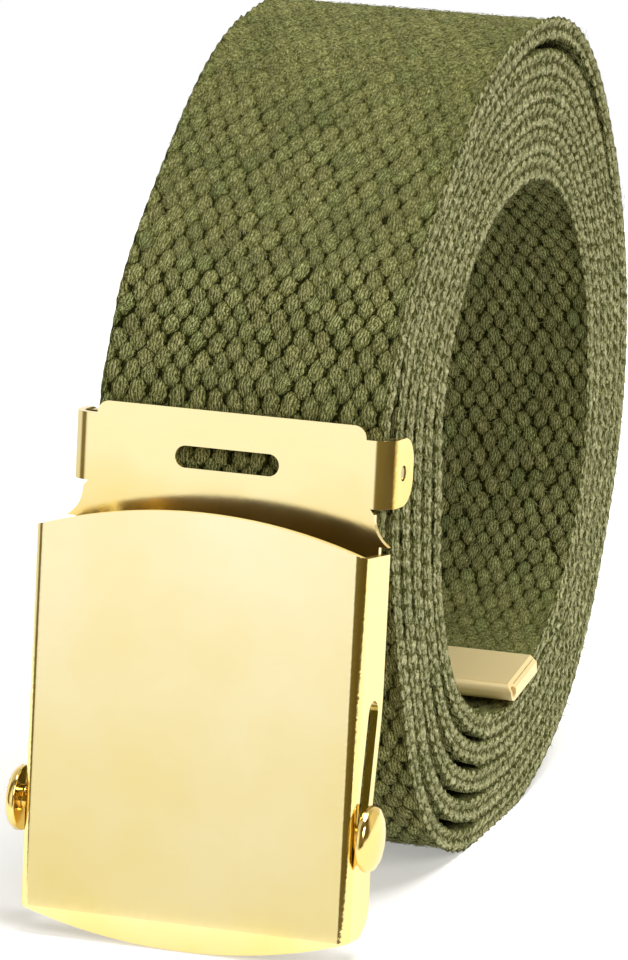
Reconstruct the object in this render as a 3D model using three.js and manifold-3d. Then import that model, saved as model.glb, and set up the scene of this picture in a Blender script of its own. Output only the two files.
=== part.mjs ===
// A canvas web belt, wound into an upright oval coil that stands on its edge, with a brass slide
// buckle clamped to its outer end and a brass cap on its inner end. Lengths are in millimetres and
// angles in degrees. +Z is up, the web's width runs along X, and the buckle faces -Y. The origin is
// the middle of the belt's footprint.
import * as THREE from 'three';
import { mergeVertices } from 'three/addons/utils/BufferGeometryUtils.js';
import Module from 'manifold-3d';

const wasm = await Module();
wasm.setup();

// The webbing
const WEB_WIDTH = 38;
const WEB_THICKNESS = 2;

// The coil. The web winds inwards, at an angle that falls. The two tables hold, every 30 degrees from
// +Y over +Z, the outside's reach as a share of COIL_RADIUS and the gap between turns as a share of
// TURN_GAP.
const COIL_RADIUS = 52;
const COIL_TURNS = 5.667;
const TURN_GAP = 1.3;
const OUTSIDE_SHARES = [
  0.985, 1.035, 1.12, 1.017, 0.9, 0.904,
  0.896, 0.915, 1.062, 1.015, 0.99, 0.952,
];
const GAP_SHARES = [
  0.61, 0.71, 1.28, 1.04, 0.7, 1.23,
  1.61, 1.28, 1.69, 0.89, 0.58, 0.31,
];
// How far above the bridge's top edge the web, coming up from the buckle, joins the coil.
const WEB_JOIN_RISE = 10.33;
const WIND_STEP = 6;
const FLOOR_DENT = 0.3;
// Where the outermost turn stands away from the turns inside it: at is an angle round the coil,
// reach is how far round the gap runs to each side, and open is the extra gap as a share of TURN_GAP.
// The turns below the outermost one take it up between the two shares of a turn.
const LOOSE = [
  { at: 55, reach: 42, open: 1.2 },
  { at: -175, reach: 50, open: 0.5 },
];
const LOOSE_FROM = 0.45;
const LOOSE_TO = 0.75;

// Sheet brass and clearances
const COVER_WALL = 1;
const BRIDGE_WALL = 0.9;
const FIT_GAP = 0.3;
const WEB_STAND_OFF = 0.6;

// The buckle stands on the floor and leans back on the web in front of the coil, with its jaw this
// far in front of the coil's next turn.
const BUCKLE_SIDE = -1.2;
const BUCKLE_LEAN = 8;
const BUCKLE_REST_ANGLE = -190;
const JAW_STAND_OFF = 0.8;

// The cover: a flat face with bowed ends and a flange down each side
const COVER_SIDE_ROOM = 2.1;
const COVER_WIDTH = WEB_WIDTH + 2 * (COVER_SIDE_ROOM + COVER_WALL);
const COVER_HEIGHT = 48.4;
const COVER_BOW = 3.6;
const COVER_DEPTH = 9;
const COVER_EDGE_RADIUS = 1.5;
const FLANGE_TOP_FALL = 0.5;
const FLANGE_FOOT_UP = 1.5;
const FLANGE_FOOT_CURVE = 3;
const FLANGE_FOOT_EXTRA = 1;

// The inclined slot in each flange, from the bar's low, front stop to its high, rear one
const BAR_RADIUS = 1.5;
const BAR_LOW = { depth: 3.3, up: 13 };
const BAR_HIGH = { depth: 5.7, up: 28.2 };
const SLOT_CLEARANCE = 0.2;
const RAIL_WIDTH = 1.6;
const HEAD_RADIUS = 4.2;
const HEAD_EDGE = 0.7;
const HEAD_DOME = 1.2;
const HEAD_DOME_STEPS = 4;
const HEAD_STAND_OFF = 0.8;

// The bridge: the plate above the face that the web's end hangs from. Each rise is counted from the
// top of the cover's flanges. The plate stands a little to one side of the cover's middle. Below its
// ears it spreads to shoulders above the flanges, and its tongue goes down between them.
const BRIDGE_SIDE = 0.45;
const BRIDGE_RISE = 15.3;
const BRIDGE_DEPTH = 8.3;
const BRIDGE_TOP_INSET = 0.9;
const BRIDGE_TOP_CORNER = 1.6;
const BRIDGE_NECK_RISE = 4.3;
const BRIDGE_NECK_EXTRA = 0.6;
const SHOULDER_INSET = 0.5;
const SHOULDER_RISE = 0.35;
const TONGUE_RISE = -7.4;
const BRIDGE_SLOT_LENGTH = 13.9;
const BRIDGE_SLOT_SIDE = -0.35;
const BRIDGE_SLOT_WIDTH = 2.8;
const BRIDGE_SLOT_RISE = 9.2;
const SLOT_END_FLAT = 0.01;
const EAR_SIDE_ROOM = 1.6;
const EAR_WIDTH = WEB_WIDTH + 2 * (EAR_SIDE_ROOM + BRIDGE_WALL);
const EAR_LOW_RISE = 5;
const EAR_HIGH_RISE = 13.6;
const EAR_DEPTH = 16.4;
const EAR_CORNER = 3.4;
const EAR_BEND_RADIUS = 2.6;
const BRIDGE_FLAT_WIDTH = EAR_WIDTH - 2 * EAR_BEND_RADIUS;

// The clamp jaw behind the web, on pins in the ears
const JAW_THICKNESS = 1.4;
const JAW_LOW_RISE = 5.2;
const JAW_HIGH_RISE = 13.4;
const JAW_PIN_RADIUS = 0.8;
const PIN_CLEARANCE = 0.2;
const WEB_END_RISE = 1.1;

// The cap on the web's inner end
const CAP_LENGTH = 11;
const CAP_SHEET = 0.4;
const CAP_PINCH = 0.5;
const CAP_ROLL_RADIUS = 1.15;
const CAP_SIDE_BEVEL = 1.2;
const CAP_MOUTH = 0.8;

const MATERIALS = {
  webbing: { color: 0x6d7049, roughness: 0.95, metalness: 0 },
  brass: { color: 0xe8c65a, roughness: 0.18, metalness: 1 },
};

const radians = THREE.MathUtils.degToRad;
const up = (rise) => COVER_HEIGHT + rise;
const mix = THREE.MathUtils.lerp;

// Solids

function solidOf(geometry) {
  const bare = geometry.index ? geometry.toNonIndexed() : geometry.clone();
  bare.deleteAttribute('normal');
  bare.deleteAttribute('uv');
  const merged = mergeVertices(bare, 1e-5);
  return new wasm.Manifold(new wasm.Mesh({
    numProp: 3,
    vertProperties: Float32Array.from(merged.attributes.position.array),
    triVerts: Uint32Array.from(merged.index.array),
  }));
}

function geometryOf(solid) {
  const mesh = solid.getMesh();
  const geometry = new THREE.BufferGeometry();
  geometry.setAttribute('position', new THREE.BufferAttribute(mesh.vertProperties, 3));
  geometry.setIndex(new THREE.BufferAttribute(mesh.triVerts, 1));
  return geometry;
}

function meshOf(name, geometry, slot) {
  const flat = geometry.index ? geometry.toNonIndexed() : geometry;
  flat.computeVertexNormals();
  const mesh = new THREE.Mesh(flat, new THREE.MeshStandardMaterial(MATERIALS[slot]));
  mesh.name = name;
  return mesh;
}

function outlineOf(points) {
  return new THREE.Shape(points.map(([x, y]) => new THREE.Vector2(x, y)));
}

function extruded(shape, length) {
  const settings = { depth: length, bevelEnabled: false, steps: 1, curveSegments: 10 };
  return new THREE.ExtrudeGeometry(shape, settings);
}

// A side outline, drawn as (depth, up), carried across the width and centred on it.
function acrossWidth(shape, width) {
  const geometry = extruded(shape, width);
  const turn = new THREE.Matrix4().makeBasis(
    new THREE.Vector3(0, 1, 0),
    new THREE.Vector3(0, 0, 1),
    new THREE.Vector3(1, 0, 0),
  );
  return geometry.applyMatrix4(turn).translate(-width / 2, 0, 0);
}

// A front outline, drawn as (across, up), carried back from one depth to another.
function throughDepth(shape, from, to) {
  const geometry = extruded(shape, to - from);
  return geometry.rotateX(Math.PI / 2).translate(0, to, 0);
}

// A plan outline, drawn as (across, depth), carried up from one height to another.
function upHeight(shape, from, to) {
  return extruded(shape, to - from).translate(0, 0, from);
}

function box(x, y, z) {
  const size = new THREE.Vector3(x[1] - x[0], y[1] - y[0], z[1] - z[0]);
  const middle = new THREE.Vector3(x[0] + x[1], y[0] + y[1], z[0] + z[1]).multiplyScalar(0.5);
  return new THREE.BoxGeometry(size.x, size.y, size.z).translate(middle.x, middle.y, middle.z);
}

function roundedRectangle(x0, y0, x1, y1, corners) {
  const shape = new THREE.Shape();
  const [lowLeft, lowRight, highRight, highLeft] = corners;
  shape.moveTo(x0 + lowLeft, y0);
  shape.lineTo(x1 - lowRight, y0);
  if (lowRight) shape.absarc(x1 - lowRight, y0 + lowRight, lowRight, -Math.PI / 2, 0);
  shape.lineTo(x1, y1 - highRight);
  if (highRight) shape.absarc(x1 - highRight, y1 - highRight, highRight, 0, Math.PI / 2);
  shape.lineTo(x0 + highLeft, y1);
  if (highLeft) shape.absarc(x0 + highLeft, y1 - highLeft, highLeft, Math.PI / 2, Math.PI);
  shape.lineTo(x0, y0 + lowLeft);
  if (lowLeft) shape.absarc(x0 + lowLeft, y0 + lowLeft, lowLeft, Math.PI, 1.5 * Math.PI);
  return shape;
}

// The coil's winding, in the plane across the web: x here is +Y and y is up, from the coil's middle

function along(angle, distance) {
  return new THREE.Vector2(Math.cos(radians(angle)), Math.sin(radians(angle))).multiplyScalar(distance);
}

// A table's value at any angle, on a smooth closed curve through its entries.
function valueAt(table, angle) {
  const place = THREE.MathUtils.euclideanModulo(angle, 360) / 360 * table.length;
  const entry = Math.floor(place);
  const [before, from, to, after] = [-1, 0, 1, 2]
    .map((offset) => table[(entry + offset + table.length) % table.length]);
  const t = place - entry;
  const slopeFrom = (to - before) / 2;
  const slopeTo = (after - from) / 2;
  return mix(from, to, t * t * (3 - 2 * t)) + t * (1 - t) * (slopeFrom * (1 - t) - slopeTo * t);
}

function looseness(angle) {
  let extra = 0;
  for (const { at, reach, open } of LOOSE) {
    const away = THREE.MathUtils.euclideanModulo(angle - at + 180, 360) - 180;
    if (Math.abs(away) < reach) extra += open * Math.cos(radians(90 * away / reach)) ** 2;
  }
  return extra;
}

const webDepthInBuckle = BRIDGE_DEPTH + BRIDGE_WALL + WEB_STAND_OFF + WEB_THICKNESS / 2;
const jawDepth = webDepthInBuckle + WEB_THICKNESS / 2 + FIT_GAP;
const jawBack = jawDepth + JAW_THICKNESS;

// The buckle stands on the middle of its lower bow, which lifts its own zero off the floor.
const lean = radians(BUCKLE_LEAN);
const buckleZero = COVER_BOW * Math.cos(lean) + COVER_WALL * Math.sin(lean);

// The angle round the coil at which the web joins it.
function joiningAngle() {
  const bridgeTop = up(BRIDGE_RISE) * Math.cos(lean) - webDepthInBuckle * Math.sin(lean);
  const height = buckleZero + bridgeTop + WEB_JOIN_RISE;
  return 180 - THREE.MathUtils.radToDeg(Math.asin((height - COIL_RADIUS) / COIL_RADIUS));
}

const windFromAngle = joiningAngle();

// The web's middle line at an angle that falls from windFromAngle as the web winds inwards.
function windingPoint(angle) {
  const turns = (windFromAngle - angle) / 360;
  const pitch = WEB_THICKNESS + TURN_GAP * valueAt(GAP_SHARES, angle);
  const below = THREE.MathUtils.smoothstep(turns, LOOSE_FROM, LOOSE_TO) * (1 - turns / COIL_TURNS);
  const outside = COIL_RADIUS * valueAt(OUTSIDE_SHARES, angle);
  const loose = TURN_GAP * looseness(angle) * below;
  return along(angle, outside - WEB_THICKNESS / 2 - turns * pitch - loose);
}

const innerEndAngle = windFromAngle - 360 * COIL_TURNS;

// The outer oval's lowest reach, less the dent where the web rests on the floor.
function coilMiddleHeight() {
  let lowest = 0;
  for (let angle = 180; angle < 360; angle += 1) {
    const turns = (windFromAngle + 360 - angle) / 360;
    const middle = windingPoint(windFromAngle - 360 * turns);
    lowest = Math.min(lowest, middle.y - WEB_THICKNESS / 2);
  }
  return -lowest - FLOOR_DENT;
}

const coilHeight = coilMiddleHeight();

// The place of the buckle's own zero in the coil's plane: the jaw's back clears the coil at the
// height where the two meet.
function buckleFoot() {
  const rise = buckleZero - coilHeight;
  const rest = windingPoint(BUCKLE_REST_ANGLE);
  const meeting = (rest.y - rise + jawBack * Math.sin(lean)) / Math.cos(lean);
  const coilFront = rest.x - WEB_THICKNESS / 2 - JAW_STAND_OFF;
  return new THREE.Vector2(coilFront - jawBack * Math.cos(lean) - meeting * Math.sin(lean), rise);
}

const foot = buckleFoot();

// A point of the buckle's side view, (depth, height up the face), in the coil's plane.
function bucklePoint(depth, height) {
  const origin = new THREE.Vector2(0, 0);
  return new THREE.Vector2(depth, height).rotateAround(origin, -lean).add(foot);
}

// The web's middle line, from its clamped end behind the bridge to the end in the cap. The last
// stretch is straight, inside the cap.
function webLine() {
  const clamped = [up(WEB_END_RISE), (up(WEB_END_RISE) + up(BRIDGE_RISE)) / 2, up(BRIDGE_RISE)]
    .map((height) => bucklePoint(webDepthInBuckle, height));
  const top = clamped[2];
  const start = windingPoint(windFromAngle);
  const next = windingPoint(windFromAngle - 1);
  const pull = top.distanceTo(start) / 3;
  const upBuckle = top.clone().sub(clamped[0]).normalize().multiplyScalar(pull);
  const backAlongCoil = start.clone().sub(next).normalize().multiplyScalar(pull);
  const joining = new THREE.CubicBezierCurve(
    top,
    top.clone().add(upBuckle),
    start.clone().add(backAlongCoil),
    start,
  );
  const points = [...clamped, ...joining.getPoints(6).slice(1, -1)];
  const capTurn = THREE.MathUtils.radToDeg(CAP_LENGTH / windingPoint(innerEndAngle).length());
  const capFrom = innerEndAngle + capTurn;
  const steps = Math.round((windFromAngle - capFrom) / WIND_STEP);
  for (let i = 0; i <= steps; i += 1) {
    points.push(windingPoint(mix(windFromAngle, capFrom, i / steps)));
  }
  const capStart = points[points.length - 1];
  const capEnd = windingPoint(innerEndAngle);
  return { points, capStart, capEnd };
}

function offsetLine(points, distance) {
  return points.map((point, i) => {
    const before = points[Math.max(i - 1, 0)];
    const after = points[Math.min(i + 1, points.length - 1)];
    const run = after.clone().sub(before).normalize();
    return point.clone().add(new THREE.Vector2(-run.y, run.x).multiplyScalar(distance));
  });
}

const { points: webPoints, capStart, capEnd } = webLine();
const capRun = capEnd.clone().sub(capStart).normalize();
const capReach = capStart.distanceTo(capEnd);

// Inside the cap the web is pinched thinner, and it stops short of the cap's rolled end.
function webStrap() {
  const half = WEB_THICKNESS / 2;
  const floor = (point) => new THREE.Vector2(point.x, Math.max(point.y, -coilHeight));
  const outer = offsetLine(webPoints, half).map(floor);
  const inner = offsetLine(webPoints, -half);
  const across = new THREE.Vector2(-capRun.y, capRun.x);
  const pinched = half - CAP_PINCH;
  const stations = [CAP_MOUTH - FIT_GAP, capReach - 2 * CAP_ROLL_RADIUS - FIT_GAP];
  const place = (distance, side) => capStart.clone()
    .addScaledVector(capRun, distance)
    .addScaledVector(across, side * pinched);
  const outline = [
    ...outer,
    ...stations.map((distance) => place(distance, 1)),
    ...stations.map((distance) => place(distance, -1)).reverse(),
    ...inner.reverse(),
  ];
  return acrossWidth(new THREE.Shape(outline), WEB_WIDTH);
}

// The cap: two sheets folded over the web's end and its edges, with an open roll along the end.
// It is drawn with x along the web towards the end and y towards the coil's outside.
function endCap() {
  const half = WEB_THICKNESS / 2 - CAP_PINCH + FIT_GAP;
  const outerHalf = half + CAP_SHEET;
  const rollMiddle = capReach - CAP_ROLL_RADIUS;
  const width = WEB_WIDTH + 2 * (FIT_GAP + CAP_SHEET);
  const body = acrossWidth(outlineOf([
    [CAP_MOUTH, -outerHalf],
    [rollMiddle, -outerHalf],
    [rollMiddle, outerHalf],
    [CAP_MOUTH, outerHalf],
  ]), width);
  const pocketEnd = rollMiddle - CAP_ROLL_RADIUS + CAP_SHEET / 2;
  const pocket = acrossWidth(outlineOf([
    [CAP_MOUTH - 1, -half],
    [pocketEnd, -half],
    [pocketEnd, half],
    [CAP_MOUTH - 1, half],
  ]), WEB_WIDTH + 2 * FIT_GAP);
  const roll = new THREE.CylinderGeometry(CAP_ROLL_RADIUS, CAP_ROLL_RADIUS, width, 20);
  const rollHole = new THREE.CylinderGeometry(
    CAP_ROLL_RADIUS - CAP_SHEET,
    CAP_ROLL_RADIUS - CAP_SHEET,
    width + 2,
    16,
  );
  for (const part of [roll, rollHole]) part.rotateZ(Math.PI / 2).translate(0, rollMiddle, 0);
  let solid = solidOf(body).add(solidOf(roll)).subtract(solidOf(rollHole)).subtract(solidOf(pocket));
  for (const side of [-1, 1]) {
    const bevel = new THREE.BoxGeometry(CAP_SIDE_BEVEL, CAP_LENGTH * 3, CAP_SIDE_BEVEL);
    bevel.rotateY(Math.PI / 4).translate(side * width / 2, 0, -outerHalf);
    solid = solid.subtract(solidOf(bevel));
  }
  const turn = Math.atan2(capRun.y, capRun.x);
  return geometryOf(solid).rotateX(turn).translate(0, capStart.x, capStart.y);
}

// The buckle's pieces, with x across, y back from the face's front and z up along the face

// The face's outline, bowed at both ends.
function faceOutline() {
  const half = COVER_WIDTH / 2;
  const radius = (half ** 2 + COVER_BOW ** 2) / (2 * COVER_BOW);
  const spread = Math.asin(half / radius);
  const shape = new THREE.Shape();
  shape.moveTo(-half, 0);
  shape.absarc(0, radius - COVER_BOW, radius, 1.5 * Math.PI - spread, 1.5 * Math.PI + spread);
  shape.lineTo(half, COVER_HEIGHT);
  const highMiddle = COVER_HEIGHT + COVER_BOW - radius;
  shape.absarc(0, highMiddle, radius, Math.PI / 2 - spread, Math.PI / 2 + spread);
  return shape;
}

// A folded sheet seen from its end: a front wall and two side walls going back.
function channelPlan(width, front, rear, wall, bend) {
  const half = width / 2;
  const shape = roundedRectangle(-half, front, half, rear, [bend, bend, 0, 0]);
  const innerBend = bend - wall;
  const inside = roundedRectangle(
    -half + wall,
    front + wall,
    half - wall,
    rear + wall,
    [innerBend, innerBend, 0, 0],
  );
  return { shape, inside };
}

function channel(width, front, rear, wall, bend, low, high) {
  const { shape, inside } = channelPlan(width, front, rear, wall, bend);
  const outside = solidOf(upHeight(shape, low, high));
  return outside.subtract(solidOf(upHeight(inside, low - 1, high + 1)));
}

// The slot's middle line, and its outline for a given half width.
const slotRun = new THREE.Vector2(BAR_HIGH.depth - BAR_LOW.depth, BAR_HIGH.up - BAR_LOW.up);
const slotRadius = BAR_RADIUS + SLOT_CLEARANCE;

function slotOutline() {
  const heading = slotRun.angle();
  const shape = new THREE.Shape();
  shape.absarc(BAR_HIGH.depth, BAR_HIGH.up, slotRadius, heading - Math.PI / 2, heading + Math.PI / 2);
  shape.absarc(BAR_LOW.depth, BAR_LOW.up, slotRadius, heading + Math.PI / 2, heading + 1.5 * Math.PI);
  return shape;
}

// The flange's side outline. Its rear edge follows the slot, one rail's width behind it.
function flangeOutline() {
  const slope = slotRun.x / slotRun.y;
  const behindSlot = (height) => BAR_LOW.depth + slope * (height - BAR_LOW.up) + slotRadius + RAIL_WIDTH;
  const footDepth = behindSlot(BAR_LOW.up) + FLANGE_FOOT_EXTRA;
  const joggle = BAR_HIGH.up + slotRadius;
  const top = COVER_HEIGHT + COVER_BOW + 1;
  const rows = [
    [-COVER_BOW - 1, -1],
    [-COVER_BOW - 1, COVER_EDGE_RADIUS],
    [0, footDepth - FLANGE_FOOT_CURVE],
    [FLANGE_FOOT_UP, footDepth - FLANGE_FOOT_CURVE / 4],
    [FLANGE_FOOT_UP + FLANGE_FOOT_CURVE / 2, footDepth],
    [BAR_LOW.up - HEAD_RADIUS, footDepth],
    [BAR_LOW.up, behindSlot(BAR_LOW.up)],
    [joggle - RAIL_WIDTH * 2, behindSlot(joggle - RAIL_WIDTH * 2)],
    [joggle, COVER_DEPTH],
    [COVER_HEIGHT - FLANGE_TOP_FALL, COVER_DEPTH],
    [COVER_HEIGHT, COVER_WALL],
    [top, COVER_WALL],
    [top, -1],
  ];
  return outlineOf(rows.map(([height, depth]) => [depth, height]));
}

function coverCase() {
  const low = -COVER_BOW;
  const high = COVER_HEIGHT + COVER_BOW;
  const folded = channel(COVER_WIDTH, 0, COVER_DEPTH, COVER_WALL, COVER_EDGE_RADIUS, low, high);
  const front = solidOf(throughDepth(faceOutline(), -1, COVER_DEPTH + 1));
  const side = solidOf(acrossWidth(flangeOutline(), COVER_WIDTH + 2));
  const slot = solidOf(acrossWidth(slotOutline(), COVER_WIDTH + 2));
  return geometryOf(folded.intersect(front).intersect(side).subtract(slot));
}

// The bridge's front outline below the ears' top: the tongue, the shoulders and the neck.
function bridgeFootOutline() {
  const flat = BRIDGE_FLAT_WIDTH / 2;
  const tongue = COVER_WIDTH / 2 - COVER_WALL - FIT_GAP - BRIDGE_SIDE;
  const shoulder = new THREE.Vector2(COVER_WIDTH / 2 - SHOULDER_INSET, up(SHOULDER_RISE));
  const neck = new THREE.Vector2(flat + BRIDGE_NECK_EXTRA, up(BRIDGE_NECK_RISE));
  const pull = new THREE.Vector2(neck.x, mix(shoulder.y, neck.y, 1 / 3));
  const spread = new THREE.QuadraticBezierCurve(shoulder, pull, neck).getPoints(8);
  const side = [
    [tongue, up(TONGUE_RISE)],
    [tongue, shoulder.y],
    ...spread.map((point) => [point.x, point.y]),
    [flat, up(EAR_LOW_RISE)],
    [flat, up(EAR_HIGH_RISE)],
  ];
  const mirrored = side.map(([across, height]) => [-across, height]).reverse();
  return outlineOf([...side, ...mirrored]);
}

const jawPin = { depth: jawDepth + JAW_THICKNESS / 2, up: up(BRIDGE_SLOT_RISE) };

function bridgePlate() {
  const rear = BRIDGE_DEPTH + BRIDGE_WALL;
  const halfTop = BRIDGE_FLAT_WIDTH / 2 - BRIDGE_TOP_INSET;
  const corners = [0, 0, BRIDGE_TOP_CORNER, BRIDGE_TOP_CORNER];
  const head = roundedRectangle(-halfTop, up(EAR_LOW_RISE), halfTop, up(BRIDGE_RISE), corners);
  const front = [head, bridgeFootOutline()].map((shape) => solidOf(throughDepth(shape, BRIDGE_DEPTH, rear)));
  const folded = channel(
    EAR_WIDTH,
    BRIDGE_DEPTH,
    EAR_DEPTH,
    BRIDGE_WALL,
    EAR_BEND_RADIUS,
    up(EAR_LOW_RISE),
    up(EAR_HIGH_RISE),
  );
  const earSide = roundedRectangle(
    BRIDGE_DEPTH - 1,
    up(EAR_LOW_RISE),
    EAR_DEPTH,
    up(EAR_HIGH_RISE),
    [0, EAR_CORNER, EAR_CORNER, 0],
  );
  const ears = folded.intersect(solidOf(acrossWidth(earSide, EAR_WIDTH + 2)));
  const halfSlot = BRIDGE_SLOT_WIDTH / 2;
  const slot = roundedRectangle(
    BRIDGE_SLOT_SIDE - BRIDGE_SLOT_LENGTH / 2,
    up(BRIDGE_SLOT_RISE) - halfSlot,
    BRIDGE_SLOT_SIDE + BRIDGE_SLOT_LENGTH / 2,
    up(BRIDGE_SLOT_RISE) + halfSlot,
    Array(4).fill(halfSlot - SLOT_END_FLAT),
  );
  const slotHole = solidOf(throughDepth(slot, BRIDGE_DEPTH - 1, rear + 1));
  const pinHole = solidOf(pinAcross(JAW_PIN_RADIUS + PIN_CLEARANCE, EAR_WIDTH + 2));
  const plate = front[0].add(front[1]).add(ears).subtract(slotHole).subtract(pinHole);
  return geometryOf(plate).translate(BRIDGE_SIDE, 0, 0);
}

function pinAcross(radius, width) {
  const pin = new THREE.CylinderGeometry(radius, radius, width, 14);
  return pin.rotateZ(Math.PI / 2).translate(0, jawPin.depth, jawPin.up);
}

function clampJaw() {
  const half = EAR_WIDTH / 2 - BRIDGE_WALL - FIT_GAP;
  const plate = box([-half, half], [jawDepth, jawBack], [up(JAW_LOW_RISE), up(JAW_HIGH_RISE)]);
  const pins = pinAcross(JAW_PIN_RADIUS, EAR_WIDTH - FIT_GAP);
  return geometryOf(solidOf(plate).add(solidOf(pins))).translate(BRIDGE_SIDE, 0, 0);
}

// The bar is turned: a plain neck through both slots and a domed head outside each flange.
function lockingBar() {
  const inner = COVER_WIDTH / 2 + HEAD_STAND_OFF;
  const rim = inner + HEAD_EDGE;
  const half = [[BAR_RADIUS, inner], [HEAD_RADIUS, inner]];
  for (let i = 0; i <= HEAD_DOME_STEPS; i += 1) {
    const turn = radians(90 * i / HEAD_DOME_STEPS);
    half.push([HEAD_RADIUS * Math.cos(turn), rim + HEAD_DOME * Math.sin(turn)]);
  }
  half[half.length - 1][0] = 0;
  const mirrored = half.map(([radius, place]) => [radius, -place]).reverse();
  const profile = [...mirrored, ...half].map(([radius, place]) => new THREE.Vector2(radius, place));
  const bar = new THREE.LatheGeometry(profile, 32);
  const solid = solidOf(bar.rotateZ(-Math.PI / 2));
  return geometryOf(solid).translate(0, BAR_LOW.depth, BAR_LOW.up);
}

function buckle() {
  const group = new THREE.Group();
  group.add(
    meshOf('cover_case', coverCase(), 'brass'),
    meshOf('bridge_plate', bridgePlate(), 'brass'),
    meshOf('clamp_jaw', clampJaw(), 'brass'),
    meshOf('locking_bar', lockingBar(), 'brass'),
  );
  group.position.set(BUCKLE_SIDE, foot.x, foot.y);
  group.rotation.x = -lean;
  return group;
}

const belt = new THREE.Group();
belt.add(
  meshOf('web_strap', webStrap(), 'webbing'),
  meshOf('end_cap', endCap(), 'brass'),
  buckle(),
);
belt.updateMatrixWorld(true);
const reach = new THREE.Box3().setFromObject(belt, true);
const footprint = reach.getCenter(new THREE.Vector3());
belt.position.set(-footprint.x, -footprint.y, -reach.min.z);

export default belt;
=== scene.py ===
from math import pi, radians, tan

import bmesh
import bpy
import numpy as np
from mathutils import Matrix, Vector


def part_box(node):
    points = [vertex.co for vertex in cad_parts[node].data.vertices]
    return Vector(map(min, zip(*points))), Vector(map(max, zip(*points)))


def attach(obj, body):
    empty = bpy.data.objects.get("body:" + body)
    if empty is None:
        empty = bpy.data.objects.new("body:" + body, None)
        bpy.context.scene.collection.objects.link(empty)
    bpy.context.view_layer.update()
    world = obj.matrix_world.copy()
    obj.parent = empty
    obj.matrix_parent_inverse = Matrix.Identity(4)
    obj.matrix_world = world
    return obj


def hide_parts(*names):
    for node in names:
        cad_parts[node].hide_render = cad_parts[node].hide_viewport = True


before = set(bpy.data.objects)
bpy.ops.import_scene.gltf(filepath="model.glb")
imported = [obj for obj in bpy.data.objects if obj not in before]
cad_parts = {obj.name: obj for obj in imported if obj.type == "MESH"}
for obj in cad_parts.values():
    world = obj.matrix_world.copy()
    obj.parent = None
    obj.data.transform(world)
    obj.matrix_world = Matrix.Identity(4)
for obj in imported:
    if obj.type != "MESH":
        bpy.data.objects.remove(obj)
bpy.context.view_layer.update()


# The webbing: one length of thick cotton canvas, 38 mm wide, wound into a loose coil that stands
# on its outer turn. It is woven warp-faced, so every second warp loop shows as a raised grain of
# four or five strands, and a looped cord runs along each corner of both selvedges.

WEB_WIDTH = 0.038
WEB_WALL = 0.002
IN_THE_CAP = 0.0125
IN_THE_CLAMP = 0.012
CLAMP_FADE = 0.01
GRAIN_PITCH = 0.00255
GRAIN_REPEAT = 0.0044
GRAIN_HALF_WIDTH = 0.00110
GRAIN_HALF_LENGTH = 0.00156
GRAIN_LEAN = tan(radians(3))
GRAIN_RISE = 0.00042
GRAIN_FLOOR = -0.00030
GRAIN_DRIFT_ACROSS = 0.00024
GRAIN_DRIFT_ALONG = 0.0004
DRIFT_REACH = 0.0065
DRIFT_GROWTH = 1.55
STRAND_PITCH = 0.00043
# Faces that turn up past this are drawn lighter and fuzzier, with less painted shade: painted light from
# above, together with the cotton's fuzz.
TOP_LIGHT_FROM = 0.62
TOP_LIGHT_SPAN = 0.32
LOOP_PITCH = 0.0023
CORNER_BREADTH = 0.0011
CORNER_RISE = 0.00006
CORNER_LOOPS = 0.00013
CORD_PLACES = [0.18, 0.34, 0.5, 0.66, 0.82]
CORD_SWELL = 0.00042
CORD_FILL = 0.42
CORD_FILL_ON_TOP = 0.52
ONE_TURN_AWAY = 0.1
WIDE_ROOM = 0.0016
ROOM_IN_THE_OPEN = 0.0009
STATION = GRAIN_REPEAT / 8
COLUMNS = 54
COARSE_ALONG = 4
COARSE_ACROSS = 9
INNER_FINENESS = 1.14
INNER_SHIFT = 0.0031
OUTER_TURN = 0.332
INNER_TURN = 0.216


def strap_pairs(node):
    """Opposite points of the strap's two faces, seen from its side, from the buckle to the tip."""
    shape = bmesh.new()
    shape.from_mesh(node.data)
    bmesh.ops.remove_doubles(shape, verts=shape.verts, dist=1e-6)
    right = max(v.co.x for v in shape.verts)
    neighbours = {}
    for edge in shape.edges:
        on_side = all(right - v.co.x < 1e-6 for v in edge.verts)
        if on_side and sum(abs(face.normal.x) > 0.9 for face in edge.link_faces) == 1:
            first, second = edge.verts
            neighbours.setdefault(first.index, []).append(second.index)
            neighbours.setdefault(second.index, []).append(first.index)
    shape.verts.ensure_lookup_table()
    chain = [next(iter(neighbours))]
    chain.append(neighbours[chain[0]][0])
    while len(chain) < len(neighbours):
        ahead = [n for n in neighbours[chain[-1]] if n != chain[-2]]
        chain.append(ahead[0])
    ring = np.array([shape.verts[i].co[1:] for i in chain])
    shape.free()
    half = len(ring) // 2

    def spread(start):
        turned = np.roll(ring, -start, axis=0)
        return np.abs(np.linalg.norm(turned - turned[::-1], axis=1) - WEB_WALL).sum()

    turned = np.roll(ring, -min(range(len(ring)), key=spread), axis=0)
    sides = [turned[:half], turned[::-1][:half]]
    if np.linalg.norm(sides[0][0] - sides[1][0]) < np.linalg.norm(sides[0][-1] - sides[1][-1]):
        sides = [side[::-1] for side in sides]
    middle = ring.mean(axis=0)
    sides.sort(key=lambda side: -np.linalg.norm(side - middle, axis=1).sum())
    return sides


def wander(across, along, seed):
    """A slow drift of the yarns, between about -1 and 1."""
    drift = np.zeros_like(across + along)
    for step in range(4):
        turn = seed * 1.7 + step * 2.4
        reach = DRIFT_REACH * DRIFT_GROWTH ** step
        drift += (0.55 + 0.15 * step) * np.sin(
            2 * pi * (across * np.cos(turn) + along * np.sin(turn)) / reach + turn * 3.1
        )
    return drift / 2.2


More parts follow.
